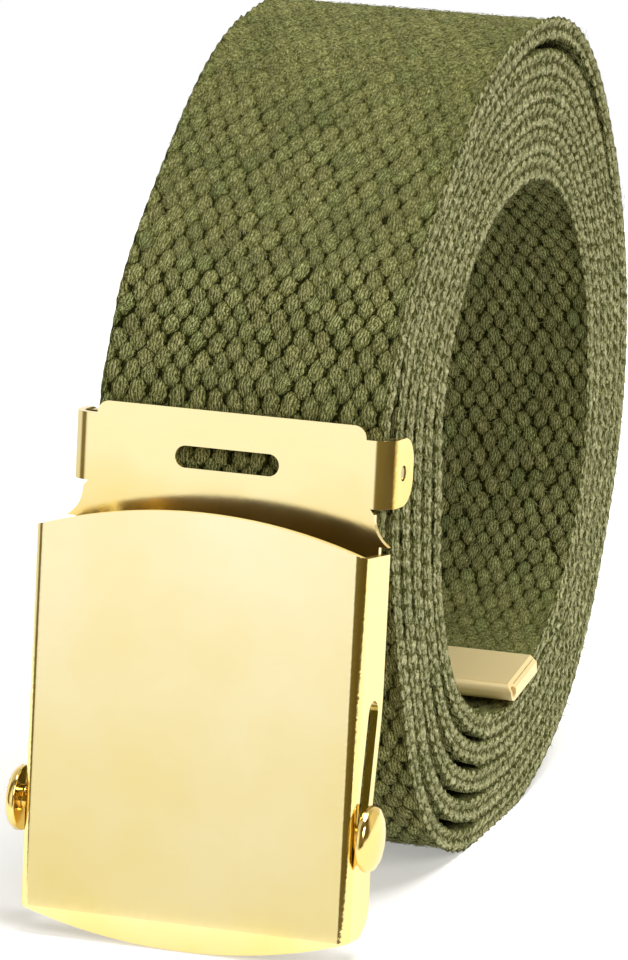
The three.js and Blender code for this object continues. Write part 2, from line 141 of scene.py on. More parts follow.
def weave_height(across, along):
    """From 0 in the gaps to 1 on the crown of a raised grain."""
    height = np.zeros_like(across)
    for shift in (0, 0.5):
        u = ((across / GRAIN_PITCH + shift) % 1 - 0.5) * GRAIN_PITCH
        v = ((along / GRAIN_REPEAT + shift) % 1 - 0.5) * GRAIN_REPEAT
        u = u - GRAIN_LEAN * v
        grain = 1 - (u / GRAIN_HALF_WIDTH) ** 2 - (v / GRAIN_HALF_LENGTH) ** 2
        height = np.maximum(height, grain)
    return np.sqrt(height)


outer_side, inner_side = strap_pairs(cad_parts["web_strap"])
middle_line = (outer_side + inner_side) / 2
half_wall = (outer_side - inner_side) / 2
travel = np.concatenate([[0], np.cumsum(np.linalg.norm(np.diff(middle_line, axis=0), axis=1))])

# A smooth curve through the winding's points, with a station at every eighth of a grain.
stations = COARSE_ALONG * round(travel[-1] / STATION / COARSE_ALONG)
along = np.linspace(0, travel[-1], stations + 1)
slope = np.gradient(middle_line, travel, axis=0)
before = np.clip(np.searchsorted(travel, along, side="right") - 1, 0, len(travel) - 2)
span = (travel[before + 1] - travel[before])[:, None]
t = (along[:, None] - travel[before][:, None]) / span
middle = (
    (2 * t**3 - 3 * t**2 + 1) * middle_line[before]
    + (t**3 - 2 * t**2 + t) * span * slope[before]
    + (3 * t**2 - 2 * t**3) * middle_line[before + 1]
    + (t**3 - t**2) * span * slope[before + 1]
)
wall = np.stack([np.interp(along, travel, half_wall[:, k]) for k in (0, 1)], axis=1)
outwards = wall / np.linalg.norm(wall, axis=1)[:, None]
strap_low, strap_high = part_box("web_strap")
web_middle = (strap_low[0] + strap_high[0]) / 2
across = np.linspace(-WEB_WIDTH / 2, WEB_WIDTH / 2, COLUMNS + 1)
free = np.where(along > travel[-1] - IN_THE_CAP, 0.0, 1.0)[:, None]

# The room between one turn and the next, which the fuzzy selvedges nearly fill.
apart = np.linalg.norm(middle[:, None, :] - middle[None, :, :], axis=2)
apart[np.abs(along[:, None] - along[None, :]) < ONE_TURN_AWAY] = 1.0
room = np.clip(apart.min(axis=1) - WEB_WALL, 0.0, WIDE_ROOM)
room = np.where(room >= WIDE_ROOM, ROOM_IN_THE_OPEN, room)
room = room * free[:, 0] * np.clip((along - IN_THE_CLAMP) / CLAMP_FADE, 0, 1)
cord_fill = room * np.interp(outwards[:, 1], [0.2, 0.9], [CORD_FILL, CORD_FILL_ON_TOP])

points = []
top_light_and_fuzz_shares = []
face_uv = []
edge_uv = []
fine_faces = []
face_kinds = []


def web_face(side, from_station, to_station, offset):
    """Adds one face of the web, finely woven between two stations and plain beyond them."""
    u, s = np.meshgrid(across, along)
    u, s = (u, s) if side > 0 else (u * INNER_FINENESS, s * INNER_FINENESS)
    u_drift = u + GRAIN_DRIFT_ACROSS * wander(u, s, side + 2)
    s_drift = s + offset + GRAIN_DRIFT_ALONG * wander(u, s, side + 5)
    rise = GRAIN_FLOOR + GRAIN_RISE * weave_height(u_drift, s_drift)
    edge = np.clip((WEB_WIDTH / 2 - np.abs(across)) / CORNER_BREADTH, 0, 1)[None, :]
    loops = np.cos(4 * pi * s / GRAIN_REPEAT + 1.7 * np.sin(s / 0.013) + np.sign(u) * 1.1)
    corner = CORNER_RISE + CORNER_LOOPS * loops + cord_fill[:, None] * (1 - edge)
    rise = (rise * edge + corner * (1 - edge)) * free
    place = middle[:, None, :] + side * (wall[:, None, :] + outwards[:, None, :] * rise[:, :, None])

    # Every point is kept between the two stations and along the edges, and a few elsewhere.
    index = -np.ones(u.shape, dtype=int)
    rows = np.arange(stations + 1)
    coarse_rows = (rows % COARSE_ALONG == 0)[:, None]
    coarse_columns = (np.arange(COLUMNS + 1) % COARSE_ACROSS == 0)[None, :]
    fine_rows = ((rows >= from_station) & (rows <= to_station))[:, None]
    keep = (coarse_rows & coarse_columns) | fine_rows
    keep[:, 0] = True
    keep[:, -1] = True
    index[keep] = len(points) + np.arange(keep.sum())
    for row, column in zip(*np.nonzero(keep)):
        y, z = place[row, column]
        points.append((web_middle + across[column], y, max(z, 0.0)))
        # How far the face turns up: the share of painted top light and fuzz it gets.
        top_light_and_fuzz_shares.append(np.clip((side * outwards[row, 1] - TOP_LIGHT_FROM) / TOP_LIGHT_SPAN, 0, 1))
        face_uv.append((u_drift[row, column], s_drift[row, column]))
        edge_uv.append((0.0 if side > 0 else WEB_WALL, along[row]))
    row = 0
    while row < stations:
        fine = from_station <= row < to_station
        tall, wide = (1, 1) if fine else (COARSE_ALONG, COARSE_ACROSS)
        for column in range(0, COLUMNS, wide):
            rim = [(row, c) for c in range(column, column + wide)]
            rim += [(r, column + wide) for r in range(row, row + tall)]
            rim += [(row + tall, c) for c in range(column + wide, column, -1)]
            rim += [(r, column) for r in range(row + tall, row, -1)]
            ring = [int(index[spot]) for spot in rim if index[spot] >= 0]
            fine_faces.append(ring if side > 0 else ring[::-1])
            face_kinds.append(0)
        row += tall
    return index


def web_edge(column, outer_index, inner_index):
    """Adds one selvedge, two looped cords between the faces' corners, and gives its lines of points."""
    side = -1 if column == 0 else 1
    ladder = [outer_index[:, column]]
    for place in CORD_PLACES:
        cord = max(np.exp(-((place - 0.2) / 0.14) ** 2), np.exp(-((place - 0.8) / 0.14) ** 2))
        lean = 0.3 if place < 0.5 else -0.3
        loops = np.cos(2 * pi * (along / LOOP_PITCH + lean * place) + 0.8 * np.sin(along / 0.011))
        swell = CORD_SWELL * (cord * (0.62 + 0.38 * loops) - 0.35) * free[:, 0]
        ladder.append(len(points) + np.arange(stations + 1))
        spot = middle + (wall + outwards * cord_fill[:, None]) * (1 - 2 * place)
        for row in range(stations + 1):
            y, z = spot[row]
            x = web_middle + side * (WEB_WIDTH / 2 + swell[row])
            points.append((x, y, max(z, 0.0)))
            top_light_and_fuzz_shares.append(0.0)
            face_uv.append((0.0, along[row]))
            edge_uv.append((WEB_WALL * place, along[row]))
    ladder.append(inner_index[:, column])
    for one, other in zip(ladder, ladder[1:]):
        for row in range(stations):
            ring = [int(one[row]), int(one[row + 1]), int(other[row + 1]), int(other[row])]
            fine_faces.append(ring if side > 0 else ring[::-1])
            face_kinds.append(1)
    return ladder


# The weave is raised where it shows: on the coil's outer turn and on its inner one.
last_fine = COARSE_ALONG * round(OUTER_TURN / travel[-1] * stations / COARSE_ALONG)
first_fine = COARSE_ALONG * round((travel[-1] - INNER_TURN) / travel[-1] * stations / COARSE_ALONG)
outer_index = web_face(1, 0, last_fine, 0.0)
inner_index = web_face(-1, first_fine, stations, INNER_SHIFT)
left_ladder = web_edge(0, outer_index, inner_index)
right_ladder = web_edge(COLUMNS, outer_index, inner_index)

# The web's two cut ends are closed.
for end in (0, stations):
    ring = [int(i) for i in outer_index[end] if i >= 0]
    ring += [int(line[end]) for line in right_ladder[1:-1]]
    ring += [int(i) for i in inner_index[end][::-1] if i >= 0]
    ring += [int(line[end]) for line in left_ladder[-2:0:-1]]
    fine_faces.append(ring[::-1] if end == 0 else ring)
    face_kinds.append(1)

web_mesh = bpy.data.meshes.new("webbing")
web_mesh.from_pydata(points, [], fine_faces)
web_mesh.polygons.foreach_set("material_index", face_kinds)
corner_points = np.empty(len(web_mesh.loops), dtype=int)
web_mesh.loops.foreach_get("vertex_index", corner_points)
corner_kinds = np.repeat(face_kinds, [len(ring) for ring in fine_faces])
both = np.stack([np.array(face_uv), np.array(edge_uv)])
yarns = web_mesh.uv_layers.new(name="yarns")
yarns.data.foreach_set("uv", both[corner_kinds, corner_points].astype(np.float32).ravel())
top_light_and_fuzz_layer = web_mesh.attributes.new("top_light_and_fuzz", "FLOAT", "POINT")
top_light_and_fuzz_layer.data.foreach_set("value", np.array(top_light_and_fuzz_shares, dtype=np.float32))
webbing = bpy.data.objects.new("webbing", web_mesh)
bpy.context.collection.objects.link(webbing)
bpy.ops.object.select_all(action="DESELECT")
webbing.select_set(True)
bpy.context.view_layer.objects.active = webbing
bpy.ops.object.mode_set(mode="EDIT")
bpy.ops.mesh.select_all(action="SELECT")
bpy.ops.mesh.normals_make_consistent(inside=False)
bpy.ops.object.mode_set(mode="OBJECT")
bpy.ops.object.shade_smooth()


def node(tree, kind, inputs=None, **settings):
    """A new node with its settings, its sockets linked or set."""
    made = tree.nodes.new(kind)
    for name, value in settings.items():
        setattr(made, name, value)
    for name, value in (inputs or {}).items():
        if isinstance(value, bpy.types.NodeSocket):
            tree.links.new(value, made.inputs[name])
        else:
            made.inputs[name].default_value = value
    return made


def reckon(tree, operation, first, second=0.0, third=0.0):
    """The result of one Math node."""
    made = node(tree, "ShaderNodeMath", {0: first, 1: second, 2: third}, operation=operation)
    return made.outputs[0]


def blend_colours(tree, factor, first, second, mode="MIX"):
    """The result of one colour Mix node."""
    sockets = {0: factor, 6: first, 7: second}
    made = node(tree, "ShaderNodeMix", sockets, data_type="RGBA", blend_type=mode)
    return made.outputs[2]


def ramp(tree, factor, stops):
    """A colour ramp with these (place, colour) stops."""
    made = node(tree, "ShaderNodeValToRGB", {0: factor})
    band = made.color_ramp
    while len(band.elements) < len(stops):
        band.elements.new(0.5)
    for element, (place, colour) in zip(band.elements, stops):
        element.position = place
        element.color = (*colour, 1)
    return made.outputs[0]


def cotton(name):
    """A rough, slightly fuzzy dyed cotton, with its shader's sockets still to be fed."""
    material = bpy.data.materials.new(name)
    material.use_nodes = True
    shader = material.node_tree.nodes["Principled BSDF"]
    shader.inputs["Roughness"].default_value = 0.93
    shader.inputs["Specular IOR Level"].default_value = 0.06
    shader.inputs["Sheen Weight"].default_value = 0.07
    shader.inputs["Sheen Roughness"].default_value = 0.4
    shader.inputs["Sheen Tint"].default_value = (0.62, 0.64, 0.40, 1)
    return material, material.node_tree, shader


def unruly(tree, place, reach, scale):
    """The same place, shifted a little by the fibres' unevenness."""
    noise = node(tree, "ShaderNodeTexNoise", {0: place, "Scale": scale, "Detail": 2.0, "Roughness": 0.6})
    around = {0: noise.outputs[1], 1: (0.5, 0.5, 0.5)}
    centred = node(tree, "ShaderNodeVectorMath", around, operation="SUBTRACT")
    shift = node(tree, "ShaderNodeVectorMath", {0: centred.outputs[0], "Scale": reach}, operation="SCALE")
    moved = node(tree, "ShaderNodeVectorMath", {0: place, 1: shift.outputs[0]}, operation="ADD")
    return moved.outputs[0]


def yarn_fuzz(tree, place):
    """Fine fibres that lie mostly along the yarns."""
    drawn = node(tree, "ShaderNodeMapping", {0: place, "Scale": (5200, 1500, 1)}, vector_type="POINT")
    sockets = {0: drawn.outputs[0], "Scale": 1.0, "Detail": 3.0, "Roughness": 0.65}
    return node(tree, "ShaderNodeTexNoise", sockets).outputs[0]


# The canvas's tones from the gaps up to the grains' crowns: the gap and shade tones are painted shade
# between and beside the grains, the crown tone a painted highlight; the body tone is the dyed yarn's own
# colour.
GAP_SHADE_TONE = (0.014, 0.014, 0.001)
SHADE_TONE = (0.046, 0.047, 0.009)
BODY_TONE = (0.128, 0.130, 0.040)
CROWN_HIGHLIGHT_TONE = (0.198, 0.200, 0.078)

grain_canvas, tree, shader = cotton("olive_canvas")
place = node(tree, "ShaderNodeUVMap", uv_map="yarns").outputs[0]
# The share of painted light from above, and of fuzz, that each face gets where it turns up.
top_light_and_fuzz = node(tree, "ShaderNodeAttribute", attribute_name="top_light_and_fuzz", attribute_type="GEOMETRY").outputs["Fac"]
parts = node(tree, "ShaderNodeSeparateXYZ", {0: unruly(tree, place, 0.0008, 2200.0)}).outputs
fuzz = yarn_fuzz(tree, place)
waves = node(tree, "ShaderNodeTexNoise", {0: place, "Scale": 900.0, "Detail": 2.0}).outputs[0]

# Two lattices of spindle-shaped grains, one set half a step into the other. Each grain gets its own
# lean and shift, and a fan of strands that draw together at its ends.
lattices = []
for shift in (0.0, 0.5):
    u = reckon(tree, "MULTIPLY_ADD", parts[0], 1 / GRAIN_PITCH, shift)
    v = reckon(tree, "MULTIPLY_ADD", parts[1], 1 / GRAIN_REPEAT, shift)
    cell = node(tree, "ShaderNodeCombineXYZ", {
        0: reckon(tree, "FLOOR", u), 1: reckon(tree, "FLOOR", v), 2: shift * 14,
    }).outputs[0]
    chance = node(tree, "ShaderNodeTexWhiteNoise", {0: cell}, noise_dimensions="3D")
    draws = node(tree, "ShaderNodeSeparateColor", {0: chance.outputs[1]}).outputs
    in_u = reckon(tree, "MULTIPLY", reckon(tree, "SUBTRACT", reckon(tree, "FRACT", u), 0.5), GRAIN_PITCH)
    in_v = reckon(tree, "MULTIPLY", reckon(tree, "SUBTRACT", reckon(tree, "FRACT", v), 0.5), GRAIN_REPEAT)
    lean = reckon(tree, "MULTIPLY_ADD", draws[0], -0.30, 0.15 - GRAIN_LEAN)
    in_u = reckon(tree, "MULTIPLY_ADD", in_v, lean, in_u)
    in_u = reckon(tree, "ADD", in_u, reckon(tree, "MULTIPLY_ADD", draws[1], 0.00034, -0.00017))
    in_v = reckon(tree, "ADD", in_v, reckon(tree, "MULTIPLY_ADD", draws[2], 0.0007, -0.00035))
    side_share = reckon(tree, "ABSOLUTE", reckon(tree, "DIVIDE", in_u, GRAIN_HALF_WIDTH))
    end_share = reckon(tree, "ABSOLUTE", reckon(tree, "DIVIDE", in_v, GRAIN_HALF_LENGTH))
    side_fall = reckon(tree, "POWER", side_share, 2.0)
    end_fall = reckon(tree, "POWER", end_share, 2.4)
    swell = reckon(tree, "SUBTRACT", reckon(tree, "SUBTRACT", 1.0, side_fall), end_fall)
    slant = reckon(tree, "MULTIPLY_ADD", in_v, -0.26 / GRAIN_HALF_LENGTH, 0.05)
    swell = reckon(tree, "ADD", swell, slant)
    taper = reckon(tree, "MAXIMUM", reckon(tree, "MULTIPLY_ADD", end_fall, -0.42, 1.0), 0.3)
    twist = reckon(tree, "MULTIPLY_ADD", draws[2], 0.3, -0.1)
    twist = reckon(tree, "DIVIDE", reckon(tree, "MULTIPLY_ADD", in_v, twist, in_u), taper)
    phase = reckon(tree, "MULTIPLY", twist, 2 * pi / STRAND_PITCH)
    phase = reckon(tree, "MULTIPLY_ADD", waves, 9.0, phase)
    phase = reckon(tree, "MULTIPLY_ADD", draws[1], 6.0, phase)
    strands = reckon(tree, "MULTIPLY_ADD", reckon(tree, "SINE", phase), 0.5, 0.5)
    lattices.append((swell, strands, chance.outputs[0], draws[2]))
over = reckon(tree, "GREATER_THAN", lattices[1][0], lattices[0][0])


def of_the_upper(first, second):
    """The first lattice's value, or the second's where its grain lies on top."""
    made = node(tree, "ShaderNodeMix", {0: over, 2: first, 3: second}, data_type="FLOAT")
    return made.outputs[0]


swell, strands, chance, hue = [of_the_upper(*pair) for pair in zip(*lattices)]
overlap = reckon(tree, "ABSOLUTE", reckon(tree, "SUBTRACT", lattices[0][0], lattices[1][0]))
crease = reckon(tree, "MULTIPLY_ADD", reckon(tree, "SUBTRACT", fuzz, 0.5), 0.7, overlap)
body = reckon(tree, "MAXIMUM", swell, 0.0)
# The tone follows each grain's height and fuzz: painted shade in the gaps and a painted highlight on the
# crowns, flattened and lightened where the face turns up into painted top light.
relief_shading_and_fuzz = reckon(tree, "MULTIPLY_ADD", fuzz, 0.7, reckon(tree, "SUBTRACT", swell, 0.28))
relief_shading_and_fuzz = reckon(tree, "MULTIPLY_ADD", top_light_and_fuzz, reckon(tree, "MULTIPLY_ADD", relief_shading_and_fuzz, -0.7, 0.32), relief_shading_and_fuzz)
tone = ramp(tree, relief_shading_and_fuzz, [
    (0.0, GAP_SHADE_TONE), (0.14, SHADE_TONE), (0.36, BODY_TONE), (1.0, CROWN_HIGHLIGHT_TONE),
])
# Painted shade: dark lines in the creases where two grains meet and between the strands, whose crowns get
# a painted highlight; both fade where the face turns up.
crease_shade = ramp(tree, crease, [
    (0.0, (0.16, 0.17, 0.06)), (0.16, (0.55, 0.55, 0.45)), (0.34, (1, 1, 1)),
])
tone = blend_colours(tree, reckon(tree, "MULTIPLY_ADD", top_light_and_fuzz, -0.75, 0.9), tone, crease_shade, "MULTIPLY")
strand_shade = ramp(tree, strands, [
    (0.0, (0.26, 0.26, 0.14)), (0.36, (0.95, 0.95, 0.92)), (1.0, (1.55, 1.55, 1.75)),
])
tone = blend_colours(tree, reckon(tree, "MULTIPLY_ADD", top_light_and_fuzz, -0.70, 0.95), tone, strand_shade, "MULTIPLY")
lightness = ramp(tree, chance, [(0.0, (0.84, 0.84, 0.84)), (1.0, (1.14, 1.14, 1.14))])
tone = blend_colours(tree, 1.0, tone, lightness, "MULTIPLY")
dye = ramp(tree, hue, [
    (0.0, (0.92, 1.0, 0.96)), (0.3, (1, 1, 1)), (0.8, (1, 1, 1)), (1.0, (1.03, 0.99, 1.0)),
])
tone = blend_colours(tree, 1.0, tone, dye, "MULTIPLY")
patches = node(tree, "ShaderNodeTexNoise", {0: place, "Scale": 95.0, "Detail": 2.0})
patch_tone = ramp(tree, patches.outputs[0], [(0.3, (0.88, 0.90, 0.88)), (0.7, (1.08, 1.07, 1.08))])
tone = blend_colours(tree, 1.0, tone, patch_tone, "MULTIPLY")
fibre_tone = ramp(tree, fuzz, [(0.32, (0.32, 0.32, 0.22)), (0.5, (1, 1, 1)), (0.68, (1.9, 1.9, 2.1))])
tone = blend_colours(tree, reckon(tree, "MULTIPLY_ADD", top_light_and_fuzz, -0.45, 0.95), tone, fibre_tone, "MULTIPLY")
# Where the face turns up, a curly pile of lighter and darker fibres: the cotton's fuzz, shown with
# painted light from above.
curls = node(tree, "ShaderNodeTexNoise", {0: place, "Scale": 2300.0, "Detail": 2.0}).outputs[0]
pile = ramp(tree, curls, [(0.36, (0.45, 0.46, 0.36)), (0.5, (1, 1, 1)), (0.64, (1.5, 1.5, 1.6))])
tone = blend_colours(tree, top_light_and_fuzz, tone, pile, "MULTIPLY")
tree.links.new(tone, shader.inputs["Base Color"])
crown_rise = reckon(tree, "MULTIPLY_ADD", top_light_and_fuzz, -0.00018, 0.00026)
relief = reckon(tree, "MULTIPLY", reckon(tree, "POWER", body, 0.6), crown_rise)
relief = reckon(tree, "MULTIPLY_ADD", strands, 0.00006, relief)
relief = reckon(tree, "MULTIPLY_ADD", fuzz, 0.00016, relief)
bump = node(tree, "ShaderNodeBump", {"Height": relief, "Distance": 1.0, "Strength": 1.0})
tree.links.new(bump.outputs[0], shader.inputs["Normal"])

cord_canvas, tree, shader = cotton("olive_selvedge")
place = node(tree, "ShaderNodeUVMap", uv_map="yarns").outputs[0]
parts = node(tree, "ShaderNodeSeparateXYZ", {0: unruly(tree, place, 0.0014, 1300.0)}).outputs
fuzz = yarn_fuzz(tree, place)
ridge = reckon(tree, "SUBTRACT", reckon(tree, "FRACT", reckon(tree, "MULTIPLY", parts[0], 1000.0)), 0.5)
loop = reckon(tree, "MULTIPLY_ADD", parts[1], 1 / LOOP_PITCH, reckon(tree, "MULTIPLY", ridge, 0.45))
loop = reckon(tree, "MULTIPLY_ADD", parts[0], 260.0, loop)
loop_place = reckon(tree, "SUBTRACT", reckon(tree, "FRACT", loop), 0.5)
ridge_share = reckon(tree, "ABSOLUTE", reckon(tree, "MULTIPLY", ridge, 2.1))
loop_share = reckon(tree, "ABSOLUTE", reckon(tree, "MULTIPLY", loop_place, 1.9))
ridge_fall = reckon(tree, "POWER", ridge_share, 2.0)
loop_fall = reckon(tree, "POWER", loop_share, 2.4)
cord = reckon(tree, "SUBTRACT", reckon(tree, "SUBTRACT", 1.0, ridge_fall), loop_fall)
clumps = node(tree, "ShaderNodeTexNoise", {0: place, "Scale": 1100.0, "Detail": 2.0}).outputs[0]
# The cords' tone follows their height: painted shade in the pits between the loops and a painted
# highlight on their crowns, with random clumps of lighter and darker fibre.
relief_shading_and_fuzz = reckon(tree, "MULTIPLY_ADD", fuzz, 0.5, reckon(tree, "SUBTRACT", cord, 0.62))
relief_shading_and_fuzz = reckon(tree, "MULTIPLY_ADD", clumps, 0.9, relief_shading_and_fuzz)
tone = ramp(tree, relief_shading_and_fuzz, [
    (0.0, (0.060, 0.061, 0.012)), (0.2, (0.135, 0.135, 0.044)),
    (0.5, (0.275, 0.275, 0.125)), (1.0, (0.42, 0.415, 0.23)),
])
phase = reckon(tree, "ADD", loop_place, reckon(tree, "MULTIPLY", ridge, 0.9))
phase = reckon(tree, "MULTIPLY", phase, 26.0)
strands = reckon(tree, "MULTIPLY_ADD", reckon(tree, "SINE", phase), 0.5, 0.5)
strand_shade = ramp(tree, strands, [(0, (0.6, 0.6, 0.6)), (1, (1.2, 1.2, 1.2))])
tone = blend_colours(tree, 0.22, tone, strand_shade, "MULTIPLY")
patches = node(tree, "ShaderNodeTexNoise", {0: place, "Scale": 160.0, "Detail": 3.0})
patch_tone = ramp(tree, patches.outputs[0], [(0.3, (0.80, 0.84, 0.80)), (0.7, (1.12, 1.10, 1.12))])
tone = blend_colours(tree, 1.0, tone, patch_tone, "MULTIPLY")
fibre_tone = ramp(tree, fuzz, [(0.32, (0.36, 0.36, 0.26)), (0.5, (1, 1, 1)), (0.68, (1.75, 1.75, 1.95))])
tone = blend_colours(tree, 0.9, tone, fibre_tone, "MULTIPLY")
tree.links.new(tone, shader.inputs["Base Color"])
relief = reckon(tree, "MULTIPLY", reckon(tree, "MAXIMUM", cord, 0.0), 0.00025)
relief = reckon(tree, "MULTIPLY_ADD", strands, 0.00002, relief)
relief = reckon(tree, "MULTIPLY_ADD", fuzz, 0.00026, relief)
bump = node(tree, "ShaderNodeBump", {"Height": relief, "Distance": 1.0, "Strength": 1.0})
tree.links.new(bump.outputs[0], shader.inputs["Normal"])

web_mesh.materials.append(grain_canvas)
web_mesh.materials.append(cord_canvas)
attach(webbing, "belt")
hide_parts("web_strap")


# The lint: loose cotton fibres, about a millimetre long, that the weaving leaves. They stand up from
# the selvedges and from the two bare faces of the web, and blur its outline.

LINT_ON_EDGES = 12000
LINT_ON_FACES = 20000
LINT_STEPS = 3
LINT_HALF_WIDTH = 0.000028
OUTER_FACE_SHARE = 0.66
STATIONS_AT_BUCKLE = 60
STATIONS_AT_CAP = 40

count = LINT_ON_EDGES + LINT_ON_FACES
on_edge = np.arange(count) < LINT_ON_EDGES

# The first draw is passed over, because every fibre's place follows from the ones after it.
chance = np.random.default_rng(11)
chance.integers(0, stations, count)
faces_out = chance.random(count) < OUTER_FACE_SHARE
on_outer_face = chance.integers(STATIONS_AT_BUCKLE, last_fine, count)
on_inner_face = chance.integers(first_fine, stations - STATIONS_AT_CAP, count)
along_edge = chance.integers(STATIONS_AT_BUCKLE, stations - STATIONS_AT_CAP, count)
spots = np.where(on_edge, along_edge, np.where(faces_out, on_outer_face, on_inner_face))
ahead = middle[np.minimum(spots + 1, stations)] - middle[spots]
ahead = ahead / np.linalg.norm(ahead, axis=1)[:, None]
side = np.where(chance.random(count) < 0.5, -1.0, 1.0)
depth = np.where(on_edge, chance.uniform(-1.1, 1.1, count), np.where(faces_out, 0.97, -0.97))
sideways = np.where(on_edge, side * WEB_WIDTH / 2, chance.uniform(-0.5, 0.5, count) * WEB_WIDTH)
root = np.column_stack([web_middle + sideways, middle[spots] + wall[spots] * depth[:, None]])
lift_off_face = np.where(on_edge, 0.0, np.sign(depth))[:, None]
lift = np.column_stack([np.where(on_edge, side, 0.0), outwards[spots] * lift_off_face])
run = np.column_stack([np.zeros(count), ahead])
cross = np.cross(lift, run)
turn = chance.uniform(0, 2 * pi, count)
heading = run * np.cos(turn)[:, None] + cross * np.sin(turn)[:, None]
curl = np.cross(lift, heading) * chance.uniform(-1, 1, count)[:, None]
length = chance.uniform(0.0004, 0.0012, count)[:, None]
height = chance.uniform(0.00005, 0.00028, count)[:, None]
lint_points = []
lint_faces = []
for step in range(LINT_STEPS + 1):
    share = step / LINT_STEPS
    centre = root + length * (heading * share + curl * share**2 * 0.6)
    centre = centre + lift * height * (0.15 + 1.0 * np.sin(pi * share * 0.8))
    breadth = np.cross(lift, heading) * LINT_HALF_WIDTH * (1.2 - 0.7 * share)
    breadth = breadth + lift * LINT_HALF_WIDTH * 0.7
    lint_points.append(centre - breadth)
    lint_points.append(centre + breadth)
lint_points = np.stack(lint_points, axis=1)
lint_points[:, :, 2] = np.maximum(lint_points[:, :, 2], 0.0)
for fibre in range(count):
    start = fibre * 2 * (LINT_STEPS + 1)
    for step in range(LINT_STEPS):
        low = start + 2 * step
        lint_faces.append((low, low + 1, low + 3, low + 2))
lint_mesh = bpy.data.meshes.new("lint")
lint_mesh.from_pydata(lint_points.reshape(-1, 3).tolist(), [], lint_faces)
lint = bpy.data.objects.new("lint", lint_mesh)
bpy.context.collection.objects.link(lint)
fluff, tree, shader = cotton("olive_lint")
place = node(tree, "ShaderNodeTexCoord").outputs["Object"]
mottle = node(tree, "ShaderNodeTexNoise", {0: place, "Scale": 700.0, "Detail": 1.0})
tree.links.new(
    ramp(tree, mottle.outputs[0], [(0.3, (0.12, 0.12, 0.045)), (0.7, (0.30, 0.30, 0.16))]),
    shader.inputs["Base Color"],
)
lint_mesh.materials.append(fluff)
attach(lint, "belt")


# The cover case: the buckle's polished front, pressed from 1 mm brass sheet. Its sides are folded
# back as flanges with a slanting slot for the locking bar, and every cut edge is rounded over.

BRASS_TONE = (0.975, 0.870, 0.560)
BRASS_DEEP = (0.920, 0.745, 0.300)
FLAT_HALF_WIDTH = 0.0204
BEND_HALF_WIDTH = 0.0210
FLANGE_HALF_WIDTH = 0.0212
BUCKLE_UP = Vector((0, 0.1392, 0.9903))
BUCKLE_BACK = Vector((0, 0.9903, -0.1392))
BOW_LINE = Vector((0, -0.056744, 0.003704))


def brass(name, tone, deep, low, high, gloss, rough, grain, metallic=1.0):
    """Plated brass, deeper in tone at the low height than at the high one and on the flanges: a painted
    reflection of the dimmer surroundings that the metal mirrors there.
    """
    material = bpy.data.materials.new(name)
    material.use_nodes = True
    tree = material.node_tree
    shader = tree.nodes["Principled BSDF"]
    shader.inputs["Metallic"].default_value = metallic
    place = node(tree, "ShaderNodeTexCoord").outputs["Object"]
    clouds = node(tree, "ShaderNodeTexNoise", {0: place, "Scale": 55.0, "Detail": 3.0})
    spot = node(tree, "ShaderNodeSeparateXYZ", {0: place}).outputs
    # Painted reflection: the tone deepens towards the low height and on the flanges, where the metal
    # mirrors dimmer surroundings; the clouds add random tone.
    reflection_shade_and_clouds = reckon(tree, "MULTIPLY_ADD", spot[2], 1 / (high - low), -low / (high - low))
    reflection_shade_and_clouds = reckon(tree, "MULTIPLY_ADD", clouds.outputs[0], 1.2, reckon(tree, "SUBTRACT", reflection_shade_and_clouds, 0.6))
    sideways = reckon(tree, "ABSOLUTE", spot[0])
    onto_flange = reckon(tree, "MAXIMUM", reckon(tree, "SUBTRACT", sideways, FLANGE_HALF_WIDTH), 0.0)
    reflection_shade_and_clouds = reckon(tree, "MULTIPLY_ADD", onto_flange, -1200.0, reflection_shade_and_clouds)
    tint = ramp(tree, reflection_shade_and_clouds, [(0.0, deep), (1.0, tone)])
    tree.links.new(tint, shader.inputs["Base Color"])
    smear_form = {0: place, "Scale": 130.0, "Detail": 5.0, "Roughness": 0.6}
    smears = node(tree, "ShaderNodeTexNoise", smear_form)
    stretched = node(tree, "ShaderNodeMapping", {0: place, "Scale": (2600, 2600, 130)})
    scratches = node(tree, "ShaderNodeTexNoise", {0: stretched.outputs[0], "Scale": 1.0, "Detail": 2.0})
    haze = reckon(tree, "MULTIPLY_ADD", smears.outputs[0], rough - gloss, gloss - (rough - gloss) * 0.3)
    haze = reckon(tree, "MULTIPLY_ADD", scratches.outputs[0], 0.05, haze)
    tree.links.new(haze, shader.inputs["Roughness"])
    pits = node(tree, "ShaderNodeTexNoise", {0: place, "Scale": 1500.0, "Detail": 2.0})
    relief = reckon(tree, "MULTIPLY", scratches.outputs[0], grain)
    on_bend = node(tree, "ShaderNodeMapRange", {
        0: sideways, 1: FLAT_HALF_WIDTH, 2: BEND_HALF_WIDTH, 3: grain * 4, 4: grain * 40,
    })
    relief = reckon(tree, "MULTIPLY_ADD", pits.outputs[0], on_bend.outputs[0], relief)
    relief = reckon(tree, "MULTIPLY_ADD", smears.outputs[0], grain * 4, relief)
    bump = node(tree, "ShaderNodeBump", {"Height": relief, "Distance": 1.0, "Strength": 1.0})
    tree.links.new(bump.outputs[0], shader.inputs["Normal"])
    return material


